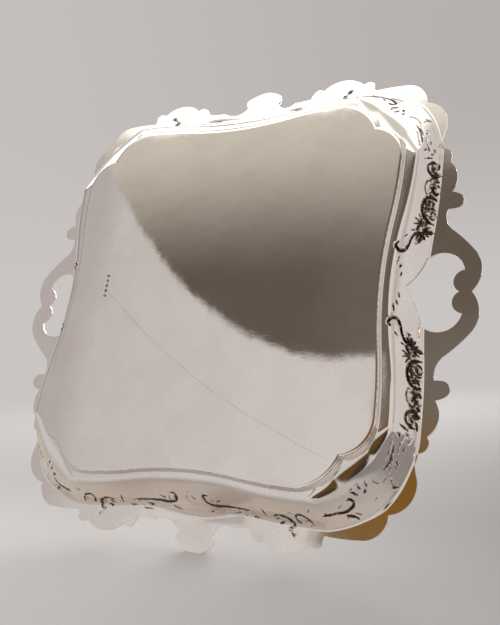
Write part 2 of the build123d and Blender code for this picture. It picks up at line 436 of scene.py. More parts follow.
# On the corner facet a is zero on the diagonal and grows towards the back or the front.
CORNER = [
    *drops(
        (-16.5, 37, 5, -30, 1.8, 1.8), (-18, 32, 7, 60, 0.9, 1.2), (27.5, 33, 6, -60, 1.1, 1.4),
        (38.5, 29, 3, 90, 1.2, 1.2), (36, 16.5, 6, 0, 1, 1.2), (1.5, 17.5, 5, 75, 1.1, 1.4),
        (7, 22, 3.5, 30, 1.6, 1.8), (9, 14.5, 6, 95, 1.5, 1.6), (15.5, 11.8, 3, 0, 1, 1.4),
        (4, 34, 5, 5, 1, 0.9), (-34.5, 21, 6, 60, 1.2, 1.4), (-31, 24, 6, 75, 1, 1.2),
    ),
    stroke([(-38, 13), (-28, 20), (-18, 25), (-11, 26), (-6.5, 23), (-6.5, 19)], 1, 1, 0.85),
    stroke([(27, 16.5), (23.5, 17.5), (22.5, 21), (25, 24), (30, 24.5), (36, 23), (45, 17), (56, 10)],
           1.7, 2, 0.25),
    stroke([(31, 36), (33, 31), (37.5, 26)], 1.7, 2, 0.55),
    stroke([(14.5, 20.5), (16, 17), (17.5, 13.5)], 1.5, 1.8),
    stroke([(-21, 18), (-31, 15.5), (-46, 5)], 1.3, 1.4, 0.3),
    stroke([(-30, 12), (-40, 6), (-50, -1)], 1.2, 1, 0.4),
    *[drop((a, v), 7, 40, 1, 1.2) for a, v in ((-44, 12), (-50, 8), (-48, 14), (-55, 5), (-57, 10))],
]
# Broad patches where leaf work is chased closely, by chart: the metal there is uneven and stained.
HANDLE_PATCHES = [
    stroke([(50, 22), (62, 27), (70, 24), (80, 28), (95, 27), (110, 28), (125, 28), (146, 25)],
           9.5, 1),
    stroke([(70, 30), (74, 18)], 6, 1),
]
LONG_PATCHES = [
    stroke([(100, 33), (112, 32), (122, 33), (140, 29), (148, 29)], 7, 0.45),
    stroke([(18, 27), (30, 31), (50, 32)], 6, 0.3),
]
CORNER_CREASE = 275.8  # distance of the corner's crease from the tray's middle
CORNER_SLOPE = math.radians(35)
SIDE_FROM = 190.0  # how far out a side's chart begins
CORNER_FROM = 150.0  # how far out both ways the corner's does
CHART_TOP = (-2.5, 1.0)  # where the handle side's chasing ends, from the slope's top


def side_chart(across, along, rail, edge_rail, axis):
    """How far up the slope each point of one side is, and how far up the slope reaches there."""
    other = 1 - axis
    order = np.argsort(rail[:, other])
    edge_order = np.argsort(edge_rail[:, other])
    crease = np.interp(along, rail[order, other], rail[order, axis])
    edge = np.interp(along, edge_rail[edge_order, other], edge_rail[edge_order, axis])
    length = np.hypot(edge - crease, RIM_HEIGHT - CREASE_HEIGHT)
    share = (across - crease) / (edge - crease)
    on_slope = np.where(share < 1, share * length, across - edge + length)
    return np.where(share < 0, across - crease, on_slope), length


SIDE_END = 3 * RAIL_COUNT + 1  # the rails' points on the handle side, up to the corner


def ornament(x, y):
    """Depth of the chasing, nearness to its edges, and its stained patches, over slope and ledge."""
    x, y = np.abs(x), np.abs(y)
    handle, handle_top = side_chart(x, y, CREASE_RAIL[:SIDE_END], EDGE_RAIL[:SIDE_END], 0)
    long, _ = side_chart(y, x, CREASE_RAIL[SIDE_END - 1:], EDGE_RAIL[SIDE_END - 1:], 1)
    corner = ((x + y) / math.sqrt(2) - CORNER_CREASE) / math.cos(CORNER_SLOPE)
    endless = np.full(len(x), np.inf)
    depth, edge, patch = np.zeros((3, len(x)))
    for a, v, top, strokes, patches, part in (
        (y, handle, handle_top, HANDLE_SIDE, HANDLE_PATCHES, x > SIDE_FROM),
        (x, long, endless, LONG_SIDE, LONG_PATCHES, y > SIDE_FROM),
        ((y - x) / math.sqrt(2), corner, endless, CORNER, [], np.minimum(x, y) > CORNER_FROM),
    ):
        inside = np.flatnonzero(part)
        cut, lip = cut_of(a[inside], v[inside], strokes)
        kept = 1 - ramp(v[inside] - top[inside], *CHART_TOP)
        broad, _ = cut_of(a[inside], v[inside], patches)
        depth[inside] = np.maximum(depth[inside], cut * kept)
        edge[inside] = np.maximum(edge[inside], lip * kept)
        patch[inside] = np.maximum(patch[inside], broad)
    return depth, edge, patch


def punched(x, y):
    """Closely punched and veined metal, from -1 to 1."""
    waves = [
        np.sin(x * math.cos(turn) * pitch + y * math.sin(turn) * pitch + 2.1 * turn)
        for turn, pitch in ((0.3, 1.9), (1.1, 2.3), (1.9, 1.7), (2.6, 2.6), (0.8, 1.1), (2.2, 0.9))
    ]
    return sum(waves) / 3


LIP = 0.16  # height of the raised metal beside a stroke, to its depth
PATCH_RELIEF = 0.35  # unevenness of the closely chased patches
PATCH_SWELL = 1.0  # how far they stand up as a whole
PATCH_STAIN = 1.4  # their tarnish, to that of a stroke a millimetre deep
HALO = 0.22  # tarnish beside a stroke, to its depth


def relief(depth, edge):
    """Height of grooves and of the lips beside them."""
    return depth - LIP * edge * np.clip(1 - depth / 0.3, 0, 1)


def border_faces(x, y):
    """The border's two faces with their chasing: the height of each, and how tarnished it is."""
    depth, edge, patch = ornament(x, y)
    grain = punched(x, y)
    under = border_base(x, y) + relief(depth, edge) + patch * (PATCH_RELIEF * grain + PATCH_SWELL)
    stain = PATCH_STAIN * patch * np.clip(0.9 + 0.4 * grain, 0, 1.4)
    beside = edge * np.clip(1 - depth, 0, 1)
    return (under, depth + HALO * edge + stain), (under + BORDER_GAUGE, beside + 0.3 * patch)


# ---- meshes

def inside_loop(points, loop):
    """Whether each point is inside a closed loop."""
    result = np.zeros(len(points), bool)
    x, y = points[:, 0], points[:, 1]
    for (x0, y0), (x1, y1) in zip(loop, np.roll(loop, -1, axis=0)):
        if y0 == y1:
            continue
        crosses = ((y0 > y) != (y1 > y)) & (x < x0 + (y - y0) * (x1 - x0) / (y1 - y0))
        result ^= crosses
    return result


def lattice(loop, spacing, wanted=None):
    """A triangular lattice of points inside a loop, clear of its edge."""
    low, high = loop.min(0), loop.max(0)
    rows = np.arange(low[1], high[1], spacing * math.sqrt(3) / 2)
    points = []
    for number, row in enumerate(rows):
        columns = np.arange(low[0] + spacing / 2 * (number % 2), high[0], spacing)
        points.append(np.stack([columns, np.full(len(columns), row)], 1))
    points = np.vstack(points)
    if wanted:
        points = points[wanted(points[:, 0], points[:, 1])]
    points = points[inside_loop(points, loop)]
    distance, _ = nearest(points, np.vstack([loop, loop[:1]]))
    return points[distance > 0.6 * spacing]


def triangulate(loop, inner):
    """Triangles over a closed loop and the points inside it, in plan."""
    points = np.vstack([loop, inner]) if len(inner) else loop
    count = len(loop)
    edges = [(i, (i + 1) % count) for i in range(count)]
    made = delaunay_2d_cdt([Vector(p) for p in points], edges, [], 0, 1e-6)
    plan = np.array([tuple(v) for v in made[0]])
    faces = np.array(made[2])
    centres = plan[faces].mean(1)
    faces = faces[inside_loop(centres, loop)]
    a, b, c = plan[faces[:, 0]], plan[faces[:, 1]], plan[faces[:, 2]]
    area = (b[:, 0] - a[:, 0]) * (c[:, 1] - a[:, 1]) - (b[:, 1] - a[:, 1]) * (c[:, 0] - a[:, 0])
    faces[area < 0] = faces[area < 0][:, ::-1]
    faces = faces[np.abs(area) > 1e-9]
    used = np.unique(faces)
    renumber = np.zeros(len(plan), int)
    renumber[used] = np.arange(len(used))
    return plan[used], renumber[faces]


def doubled(plan, faces, axis):
    """A plan joined to its mirror image across a middle plane."""
    count = len(plan)
    image = plan.copy()
    image[:, axis] *= -1
    shared = np.abs(plan[:, axis]) < 1e-5
    number = np.where(shared, np.arange(count), count + np.cumsum(~shared) - 1)
    return np.vstack([plan, image[~shared]]), np.vstack([faces, number[faces][:, ::-1]])


def border_edges(faces):
    """The directed edges that only one triangle has."""
    pairs = np.vstack([faces[:, [0, 1]], faces[:, [1, 2]], faces[:, [2, 0]]])
    known = set(map(tuple, pairs.tolist()))
    return np.array([pair for pair in pairs.tolist() if (pair[1], pair[0]) not in known])


def shell(plan, faces, mirror_axis, heights):
    """A closed skin from a plan and a function for its two faces: points, faces and hollows."""
    if mirror_axis is not None:
        plan, faces = doubled(plan, faces, mirror_axis)
    (low, low_hollow), (high, high_hollow) = heights(plan[:, 0], plan[:, 1])
    count = len(plan)
    points = np.vstack([np.column_stack([plan, low]), np.column_stack([plan, high])])
    start, end = border_edges(faces).T
    walls = np.vstack([
        np.stack([start + count, start, end], 1),
        np.stack([end + count, start + count, end], 1),
    ])
    skin = np.vstack([faces[:, ::-1], faces + count, walls])
    return points, skin, np.concatenate([low_hollow, high_hollow])


SHARP = math.radians(50)  # edges that bend more than this are drawn sharp


def linked(name, data):
    """A new object in the scene."""
    made = bpy.data.objects.new(name, data)
    bpy.context.scene.collection.objects.link(made)
    return made


def piece(name, points, faces, hollow, material):
    """One finished piece, standing for the CAD node of its name."""
    mesh = bpy.data.meshes.new(name + "_finished")
    mesh.from_pydata((points * MM).tolist(), [], faces.tolist())
    attribute = mesh.attributes.new("hollow", "FLOAT", "POINT")
    attribute.data.foreach_set("value", hollow.astype(np.float32))
    mesh.shade_smooth()
    mesh.set_sharp_from_angle(angle=SHARP)
    mesh.materials.append(material)
    made = linked(name + "_finished", mesh)
    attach(made, "root")
    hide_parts(name)


def images(stem, names, points, faces, hollow, material, slot):
    """A piece and its mirror images in the other quarters or on the other side."""
    for name, flip in names:
        placed = points * np.array([*flip, 1.0])
        turned = faces if flip[0] * flip[1] > 0 else faces[:, ::-1]
        piece(f"{stem}_{name}", placed, turned, hollow, material)


LEFT_RIGHT = [("right", (1, 1)), ("left", (-1, 1))]
BACK_FRONT = [("back", (1, 1)), ("front", (1, -1))]
QUARTERS = [
    ("back_right", (1, 1)), ("back_left", (-1, 1)), ("front_right", (1, -1)), ("front_left", (-1, -1)),
]


# ---- the well

# Small punch marks without lettering: middle, half width, half height and squareness of each.
PUNCH_X = 153.0
PUNCH_MARKS = [
    (22, 1.9, 1.6, 6), (15.5, 1.7, 2.1, 2), (9, 1.9, 1.9, 6), (2.5, 1.7, 2.2, 2.5), (-4, 2.0, 1.6, 4),
]
PUNCH_DEPTH = 0.12
PUNCH_BLUR = 0.15  # how wide their sides are, to their half width
PUNCH_STAIN = 2.5  # their tarnish at full depth
PUNCH_FIELD = [(149, -8), (157, -8), (157, 26), (149, 26)]  # the finely meshed part round them
RING_COUNT = 60  # points of a ring to a stretch of its outline
RING_STEPS = 16  # rings up the step, and over the ledge


def punch_marks(x, y):
    """Depth of the punch marks: sunk outlines, each round a plain raised lozenge."""
    depth = np.zeros(len(x))
    for middle, wide, high, square in PUNCH_MARKS:
        across, along = np.abs(x - PUNCH_X) / wide, np.abs(y - middle) / high
        edge = (across ** square + along ** square) ** (1 / square)
        sunk = np.clip((1 - edge) / PUNCH_BLUR, 0, 1)
        raised = np.clip((0.6 - across - 0.8 * along) / PUNCH_BLUR, 0, 1)
        depth += PUNCH_DEPTH * (sunk - 0.8 * raised)
    return depth


def well_rings():
    """Rings of quarter points round the panel, up the step and over the ledge, with darker bands near
    the step.
    """
    panel, step, crease = (trace(outline, count=RING_COUNT) for outline in (PANEL, STEP, CREASE))
    foot = panel + (step - panel) * STEP_SHARE
    rings = [(panel * share, np.zeros(len(panel)), 0.0) for share in (0.9, 0.96, 0.99)]
    for share in np.linspace(0, 1, RING_STEPS + 1):
        # Darker bands near the step's foot, at its top and where the ledge begins
        step_bands = 0.9 * peak(share, 0.16, 0.10) + 0.6 * peak(share, 1.0, 0.12)
        height = np.full(len(panel), STEP_HEIGHT * ramp(share, 0, 1))
        rings.append((panel + (foot - panel) * share, height, step_bands))
    for share in np.linspace(0, 1, RING_STEPS + 1)[1:]:
        plan = foot + (crease - foot) * share
        rings.append((plan, ledge_base(plan), 0.6 * peak(share, 0, 0.07)))
    return rings


def all_round(quarter):
    """A whole ring of points from its back right quarter."""
    return np.vstack([
        quarter,
        quarter[-2::-1] * (-1, 1, 1),
        quarter[1:] * (-1, -1, 1),
        quarter[-2:0:-1] * (1, -1, 1),
    ])


def strip(here, there):
    """Triangles between two rings of point numbers."""
    return np.vstack([
        np.stack([here, np.roll(here, -1), np.roll(there, -1)], 1),
        np.stack([here, np.roll(there, -1), there], 1),
    ])


def panel_mesh(loop):
    """The panel in plan, inside its first ring, finely divided round the punch marks."""
    field = np.array(PUNCH_FIELD, float)
    apart = lattice(loop, PANEL_COARSE, lambda x, y: ~inside_loop(np.stack([x, y], 1), field))
    return triangulate(loop, np.vstack([apart, lattice(field, PUNCH_FINE)]))


def outward(points, faces):
    """The faces of a closed skin, turned to the outside."""
    a, b, c = points[faces[:, 0]], points[faces[:, 1]], points[faces[:, 2]]
    return faces if np.einsum("ij,ij->i", a, np.cross(b, c)).sum() > 0 else faces[:, ::-1]


def well(material):
    """Panel, step and ledge in one skin, with the punch marks under the panel."""
    rings = well_rings()
    around = [all_round(np.column_stack([plan, height])) for plan, height, _ in rings]
    columns = len(around[0])
    loop = around[0][:, :2]
    plan, middle = panel_mesh(loop)
    punches = punch_marks(plan[:, 0], plan[:, 1])
    under = np.vstack([np.column_stack([plan, punches])] + around[1:])
    upper = under + (0, 0, PANEL_GAUGE)
    upper[:len(plan), 2] = PANEL_GAUGE
    step_bands = np.repeat([ring[2] for ring in rings[1:]], columns)
    marked = np.concatenate([PUNCH_STAIN * punches / PUNCH_DEPTH, step_bands])

    on_ledge = under[:, 2] > 0.9 * STEP_HEIGHT
    depth, edge, _ = ornament(under[:, 0], under[:, 1]) * on_ledge
    under[:, 2] += relief(depth, edge)
    upper[:, 2] += relief(depth, edge)

    here = np.linalg.norm(plan[None] - loop[:, None], axis=2).argmin(1)
    faces = [middle[:, ::-1]]
    for first in range(len(plan), len(under), columns):
        there = first + np.arange(columns)
        faces.append(strip(here, there))
        here = there
    faces = np.vstack(faces)
    skin = np.vstack([faces, faces[:, ::-1] + len(under), strip(here, here + len(under))])
    points = np.vstack([under, upper])
    hollow = np.concatenate([depth + HALO * edge + marked, edge * np.clip(1 - depth, 0, 1)])
    piece("well_sheet", points, outward(points, skin), hollow, material)


# ---- the border

def border_section(crease, rim, hole):
    """Plan of one border section: fine on the slope, coarse on the rim."""
    loop = closed(FINE * 1.25, crease, rim, hole)
    fine = lattice(loop, FINE, lambda x, y: slope_share(x, y) < 1.2)
    coarse = lattice(loop, COARSE, lambda x, y: slope_share(x, y) >= 1.2)
    return triangulate(loop, np.vstack([fine, coarse]))


def borders(material):
    """The eight soldered sections of the border."""
    runs = trace(CREASE, spacing=FINE * 1.25), trace(RIM, spacing=1.2)
    hole = trace(FINGER_HOLE, spacing=1.2)
    handle, crest = (1, BORDER_SEAM_Y), (0, BORDER_SEAM_X)
    for stem, names, seams, pierced, mirror_axis in (
        ("handle_border", LEFT_RIGHT, [(*handle, False)], hole, 1),
        ("crest_border", BACK_FRONT, [(*crest, False)], None, 0),
        ("corner_border", QUARTERS, [(*handle, True), (*crest, True)], None, None),
    ):
        section = border_section(*[within(run, seams) for run in runs], pierced)
        made = shell(*section, mirror_axis, border_faces)
        images(stem, names, *made, material, "chased_silver")


# ---- the cast mounts

RIM_LINE = trace(RIM, spacing=1.5)
HOLE_LINE = trace(FINGER_HOLE, spacing=1.5)


def slope_outline(height):
    """The slope's quarter outline at one height, in stretches."""
    share = (height - CREASE_HEIGHT) / (RIM_HEIGHT - CREASE_HEIGHT)
    return [
        tuple(low + share * (high - low) for low, high in zip(crease, edge))
        for crease, edge in zip(CREASE, RIM_EDGE)
    ]


# Relief of the mounts' upper face, in plan, by quarter.
MOUNT_STROKES = [
    # crest: a shell over a pair of curls
    *fan((0, 258), 5, 29, 90, 52, 4, 2, 2),
    spiral((15, 272), 7.5, 2, -60, 330, 1.6, 2, 0.3),
    stroke([(48, 255), (38, 254), (28, 257), (20, 263)], 2.2, 2, 0.6),
    # hollow beside the crest, and the large bud
    stroke([(72, 252), (64, 253), (54, 252)], 1.8, 1.6),
    *fan((84, 258), 3, 12, 150, 60, 4, 1.4, 1.4),
    # long C-scroll
    stroke([(146, 260), (132, 270), (116, 273.5), (100, 270), (92, 261)], 2.4, 2.4, 0.5),
    spiral((99, 261), 6.5, 1.5, 190, 560, 1.5, 2, 0.2),
    spiral((137, 261), 6.5, 1.5, -10, -380, 1.5, 2, 0.2),
    *fan((118, 252), 6, 15, 150, 30, 5, 1.3, 1.2),
    drop((150, 262), 9, 80, 1.8, 1.6),
    # corner shell between its two lobes
    *fan((205, 224), 8, 33, 100, -15, 9, 2, 1.8),
    spiral((236, 196), 8, 2, 120, -220, 1.8, 2.2, 0.3),
    spiral((172, 248), 7, 1.5, -30, 320, 1.6, 2, 0.3),
    # side C-scroll and buds
    stroke([(252, 120), (260, 128), (262, 138), (258, 150)], 2.2, 2.2),
    spiral((254, 126), 5.5, 1.5, 150, -190, 1.4, 1.8, 0.3),
    spiral((252, 146), 5, 1.5, -150, 190, 1.4, 1.8, 0.3),
    drop((247, 161), 10, 25, 1.8, 1.6),
    *fan((256, 104), 3, 13, -30, 40, 4, 1.3, 1.4),
    # handle: an acanthus spray that runs up each arm to the grip
    stroke([(248, 88), (252, 76), (262, 64), (276, 54), (285, 44), (287, 30)], 2.6, 2.4, 0.5),
    *[drop((254 + 6.5 * k, 74 - 7 * k), 11, 10 - 12 * k, 1.5, 1.5) for k in range(5)],
    *[drop((262 + 5.5 * k, 56 - 5 * k), 10, 80 - 12 * k, 1.5, 1.5) for k in range(4)],
    spiral((279, 33), 6, 1.5, 120, 470, 1.5, 1.8, 0.3),
    *fan((281, -12), 3, 15, 60, 110, 3, 1.6, 1.5),
]


EDGE_ROUND = 2.2  # width of the mounts' rounded edges
PAD_HEIGHT = 1.8  # how thick they are under their mouldings

# Mouldings: distance from the edge, half width and height of each
ROLL = (3.4, 2.6, 2.0)  # along the outer edge
BEAD = (2.4, 1.8, 1.2)  # along the inner edge
FLUTED = (10, 6, 0.35)  # a band of small flutes inside the roll
FLUTES = 95  # of them to a quarter of the rim


def moulding(distance, middle, half, height):
    """A rounded moulding that follows an edge."""
    return height * ridge((distance - middle) / half)


def mount_faces(inner_line):
    """A function for the mounts' two faces, as for the border's, by their inner edge.

    The lower one lies on the rim. The upper one has rounded edges, mouldings and strokes over them.
    """
    def heights(x, y):
        bed = RIM_HEIGHT + BORDER_GAUGE + crest_rise(x, y)
        point = np.stack([np.abs(x), np.abs(y)], 1)
        outer, place = nearest(point, RIM_LINE)
        hole, _ = nearest(point, HOLE_LINE)
        outer = np.minimum(outer, hole)
        inner, _ = nearest(point, inner_line)
        edge = np.clip(np.minimum(outer, inner) / EDGE_ROUND, 0, 1)
        pad = PAD_HEIGHT * np.sqrt(1 - (1 - edge) ** 2)
        flute = np.cos(place * 2 * math.pi * FLUTES) * moulding(outer, *FLUTED)
        cut, lip = cut_of(point[:, 0], point[:, 1], MOUNT_STROKES)
        raised = np.maximum(np.maximum(moulding(outer, *ROLL), moulding(inner, *BEAD)), cut)
        hollow = 0.6 * edge * np.clip(1.2 - raised, 0, 1) + 0.5 * lip * np.clip(1 - cut, 0, 1)
        return (bed, np.zeros(len(x))), (bed + pad + raised + flute, hollow)
    return heights


def mounts(material):
    """The sixteen cast pieces on the rim, cut at the seams between them."""
    rim, hole = trace(RIM, spacing=1.0), trace(FINGER_HOLE, spacing=1.0)
    inner = trace(slope_outline(RIM_HEIGHT + MOUNT_INSET), spacing=1.0)
    crest_inner = trace(slope_outline(RIM_HEIGHT + CREST_RISE + MOUNT_INSET), spacing=1.0)

    # The finger hole cuts across a handle mount's inner edge, which begins where they meet.
    handle, crest = (1, HANDLE_MOUNT_Y, False), (0, CREST_MOUNT_X, False)
    off_rim = np.argmin(hole[:, 0] > np.interp(hole[:, 1], inner[:, 1], inner[:, 0]))
    meeting = hole[off_rim]
    arm_edge = np.vstack([meeting, within(inner, [(1, meeting[1], True), handle])])
    faces, crest_faces = mount_faces(inner), mount_faces(crest_inner)

    for stem, names, seams, edge, pierced, heights, mirror_axis in (
        ("handle_mount", LEFT_RIGHT, [handle], arm_edge, hole[:off_rim], faces, 1),
        ("crest_mount", BACK_FRONT, [crest], within(crest_inner, [crest]), None, crest_faces, 0),
        ("side_scroll_mount", QUARTERS,
         [(1, HANDLE_MOUNT_Y, True), (1, SCROLL_MOUNT_Y, False)], None, None, faces, None),
        ("corner_mount", QUARTERS,
         [(1, SCROLL_MOUNT_Y, True), (0, SCROLL_MOUNT_X, True)], None, None, faces, None),
        ("long_scroll_mount", QUARTERS,
         [(0, SCROLL_MOUNT_X, False), (0, CREST_MOUNT_X, True)], None, None, faces, None),
    ):
        edge = within(inner, seams) if edge is None else edge
        loop = closed(MOUNT_FINE, edge, within(rim, seams), pierced)
        section = triangulate(loop, lattice(loop, MOUNT_FINE))
        made = shell(*section, mirror_axis, heights)
        images(stem, names, *made, material, "cast_silver")


# ---- node helpers

class Value:
    """A node's output. Sums and products written with it become Math nodes."""

    def __init__(self, tree, socket):
        self.tree = tree
        self.socket = socket

    def math(self, operation, *others):
        """A Math node of this and other values."""
        return node(self.tree, "Math", dict(enumerate((self, *others))), operation=operation)

    def __add__(self, other):
        return self.math("ADD", other)

    def __sub__(self, other):
        return self.math("SUBTRACT", other)

    def __rsub__(self, other):
        return self.math("MULTIPLY_ADD", -1.0, other)

    def __mul__(self, other):
        return self.math("MULTIPLY", other)

    def __truediv__(self, other):
        return self.math("DIVIDE", other)

    def __abs__(self):
        return self.math("ABSOLUTE")

    __radd__ = __add__
    __rmul__ = __mul__


def feed(tree, value, socket):
    """Give a socket a node's output or a plain value."""
    if isinstance(value, Value):
        tree.links.new(value.socket, socket)
    else:
        socket.default_value = value


def node(tree, kind, inputs=None, output=0, **settings):
    """A new node's output, with its settings and inputs filled in."""
    made = tree.nodes.new("ShaderNode" + kind)
    for key, value in settings.items():
        setattr(made, key, value)
    for key, value in (inputs or {}).items():
        feed(tree, value, made.inputs[key])
    return Value(tree, made.outputs[output])


def vector_math(operation, first, *others, output=0):
    """A Vector Math node, of which output 0 is a vector and output 1 a number."""
    inputs = dict(enumerate((first, *others)))
    return node(first.tree, "VectorMath", inputs, output, operation=operation)


def scaled(colour, share):
    """A colour made darker or lighter."""
    return node(colour.tree, "VectorMath", {0: colour, "Scale": share}, operation="SCALE")


def along_axes(vector):
    """A vector's three parts."""
    return [node(vector.tree, "SeparateXYZ", {0: vector}, axis) for axis in range(3)]


def blend(share, first, second):
    """A mix of two colours."""
    first, second = ((*colour, 1) if isinstance(colour, tuple) else colour for colour in (first, second))
    return node(share.tree, "Mix", {0: share, 6: first, 7: second}, 2, data_type="RGBA")


def between(value, low, high):
    """0 below low, 1 above high, and a smooth rise between them."""
    return node(value.tree, "MapRange", {0: value, 1: low, 2: high, 3: 0.0, 4: 1.0},
                interpolation_type="SMOOTHSTEP")


def layered(colour, *layers):
    """A colour under layers of (value, low, high, colour): each comes in as value goes low to high."""
    for value, low, high, over in layers:
        colour = blend(between(value, low, high), colour, over)
    return colour


def noise(vector, scale, detail=2.0, rough=0.5):
    """Fractal noise from 0 to 1."""
    inputs = {"Vector": vector, "Scale": scale, "Detail": detail, "Roughness": rough}
    return node(vector.tree, "TexNoise", inputs)


def stretched(vector, scale, turn):
    """A vector scaled by axis, after a turn about Z in degrees."""
    inputs = {"Vector": vector, "Rotation": (0, 0, math.radians(turn)), "Scale": scale}
    return node(vector.tree, "Mapping", inputs)


def bumped(height, distance, **normal):
    """A normal with a bump of the given distance in metres, over another normal if there is one."""
    inputs = {"Strength": 1.0, "Distance": distance, "Height": height, **normal}
    return node(height.tree, "Bump", inputs)


# ---- silver

WAVES = 0.00007  # height of the slow waves in the polished metal, in metres
WEAR = 0.000012  # and of its speckle and wiping
FILM = (0.40, 0.315, 0.265)  # thin tarnish
TARNISH = (0.058, 0.038, 0.026)  # the brown film in the hollows
TARNISHED = 0.9  # how much of it there is at its thickest
TONED = (0.95, 0.937, 0.92)  # how much darker the duller clouds of the polish are
FLECKS = 0.16  # and how much the small flecks vary
DIRT_ROUGH = 0.28  # what tarnish adds to the roughness
WIPE_ROUGH = 0.05  # and what wiping adds
WIPE_SHARE = 0.04  # height of the wiping scratches, to WEAR
SPECKLE_SHARE = 0.5  # and of the speckle

# Directions of wiping, in degrees, and how closely its scratches lie along, across and up
WIPES = [(12, (22.0, 1400.0, 60.0)), (-38, (16.0, 1100.0, 60.0)), (71, (25.0, 1300.0, 60.0))]

SCRATCH_CENTRE = (-0.5296, 0.7903, 0.0)  # of the circle that the long scratch lies on, in metres
SCRATCH_RADIUS = 1.042
SCRATCH_X = (-0.175, 0.185)  # from end to end
SCRATCH_FADES = (0.02, 0.04)  # how far it takes to fade in and out
SCRATCH_TONE = 0.72  # its tone, to the metal's


def scratch(place):
    """A long faint scratch across the panel, as a share from 0 to 1."""
    offset = vector_math("MULTIPLY", vector_math("SUBTRACT", place, SCRATCH_CENTRE), (1, 1, 0))
    wander = (noise(place, 12.0) - 0.5) * 0.006
    off = abs(vector_math("LENGTH", offset, output=1) - SCRATCH_RADIUS + wander)
    across = along_axes(place)[0]
    first, last = SCRATCH_X
    line = between(off, 0.0013, 0.0002) * between(across, first, first + SCRATCH_FADES[0])
    line = line * between(across, last, last - SCRATCH_FADES[1])
    return line * noise(place, 90.0)


def silver(name, tint, roughness, scratches, scratched=False):
    """Worked silver: fine scratches, cloudy polish, and tarnish in the hollows."""
    material = bpy.data.materials.new(name)
    material.use_nodes = True
    tree = material.node_tree
    place = node(tree, "TexCoord", output="Object")
    hollow = node(tree, "Attribute", output="Fac", attribute_name="hollow")
    cloud = noise(place, 16.0, 4.0, 0.6)
    speckle = noise(place, 420.0, 3.0, 0.6)
    wiped = [between(noise(stretched(place, scale, turn), 1.0), 0.66, 0.74) for turn, scale in WIPES]
    wipe = wiped[0] + wiped[1] + wiped[2]
    stain = hollow * (noise(place, 260.0, 4.0, 0.65) * 3.4 - 0.80)
    dirt = between(stain, 0.18, 1.5) * TARNISHED

    toned = tuple(channel * share for channel, share in zip(tint, TONED))
    shade = blend(between(cloud * 0.7 + speckle * 0.3, 0.38, 0.62), toned, tint)
    shade = scaled(shade, noise(place, 380.0, 3.0, 0.7) * FLECKS + (1 - FLECKS / 2))
    if scratched:
        shade = blend(scratch(place), shade, tuple(channel * SCRATCH_TONE for channel in tint))
    wear = wipe * (WIPE_SHARE * scratches) + speckle * (SPECKLE_SHARE * scratches)
    dull = (cloud - 0.5) * (0.8 * roughness) + dirt * DIRT_ROUGH + wipe * (WIPE_ROUGH * scratches)
    for socket, value in (
        ("Base Color", layered(shade, (dirt, 0.0, 0.55, FILM), (dirt, 0.4, 0.95, TARNISH))),
        ("Metallic", 1.0),
        ("Roughness", roughness + dull),
        ("Normal", bumped(wear, WEAR, Normal=bumped(noise(place, 26.0), WAVES))),
    ):
        feed(tree, value, tree.nodes["Principled BSDF"].inputs[socket])
    return material


# ---- camera, stage and light

LEAN = 22.0  # how far the tray leans back from upright on its stand
CAMERA_DISTANCE = 990.2  # from the middle of the base, in millimetres
CAMERA_AZIMUTH = -58.38  # angles in degrees
CAMERA_ELEVATION = -52.19  # below the base, which faces the camera
CAMERA_AIM = (-55.6, -31.1, 0.0)
CAMERA_ROLL = 2.35
CAMERA_LENS = 49.73
CREST_TIP = (0.0, -291.5, 49.7)  # where the leaning tray touches its floor
TABLE_TONE = (0.62, 0.61, 0.60)  # the tray's own table
TABLE_FADE = (1.2, 2.6)  # distances in metres over which it fades into the backdrop
FLOOR_TONE = (0.88, 0.88, 0.88)  # the floor that the leaning tray stands on
FLOOR_FADE = (0.5, 1.6)
REFLECTED_FLOOR_LIT = (0.74, 0.71, 0.70)  # painted reflection: that floor before the tray, lit, as the silver sees it
REFLECTED_FLOOR_SHADED = (0.61, 0.585, 0.57)  # below it, painted darker
REFLECTED_FLOOR_SHADOW = (0.69, 0.615, 0.555)  # and behind it, a painted warm shadow of the tray
REFLECTED_FLOOR_DARK = (0.375, 0.345, 0.335)  # and far to its right, painted dark shade
KEY_PLACE = (0.6, 1.2, 1.6)  # of the lamp, in metres
KEY_SIZE = 1.2
KEY_POWER = 18.0  # in watts
WHITE_WALL = (0.63, 0.575, 0.545)  # the pale wall on the tray's left


def camera():
    """The camera, held upright to the floor that the tray leans over."""
    azimuth, elevation = math.radians(CAMERA_AZIMUTH), math.radians(CAMERA_ELEVATION)
    spot = Vector((
        math.sin(azimuth) * math.cos(elevation),
        -math.cos(azimuth) * math.cos(elevation),
        math.sin(elevation),
    )) * CAMERA_DISTANCE
    ahead = (Vector(CAMERA_AIM) - spot).normalized()
    right = ahead.cross(floor_up()).normalized()
    right = Matrix.Rotation(math.radians(CAMERA_ROLL), 3, ahead) @ right
    up = right.cross(ahead)
    data = bpy.data.cameras.new("camera")
    data.lens = CAMERA_LENS
    data.sensor_width = 36.0
    data.clip_start = 0.01
    data.clip_end = 100.0
    made = linked("camera", data)
    turn = Matrix((right, up, -ahead)).transposed().to_4x4()
    made.matrix_world = Matrix.Translation(spot * MM) @ turn
    bpy.context.scene.camera = made


def floor_up():
    """Upright, for the leaning tray."""
    return Vector((0.0, math.cos(math.radians(LEAN)), -math.sin(math.radians(LEAN))))


def stage_sheet(name, centre, normal, size, look):
    """A large flat stage sheet."""
    mesh = bpy.data.meshes.new(name)
    corners = [(x * size / 2, y * size / 2, 0) for x, y in ((-1, -1), (1, -1), (1, 1), (-1, 1))]
    mesh.from_pydata(corners, [], [(0, 1, 2, 3)])
    mesh.materials.append(matt(name, look))
    made = linked(name, mesh)
    turn = Vector((0, 0, 1)).rotation_difference(Vector(normal)).to_matrix().to_4x4()
    made.matrix_world = Matrix.Translation(Vector(centre)) @ turn


def light_path(tree, output):
    """What kind of ray it is."""
    return node(tree, "LightPath", output=output)


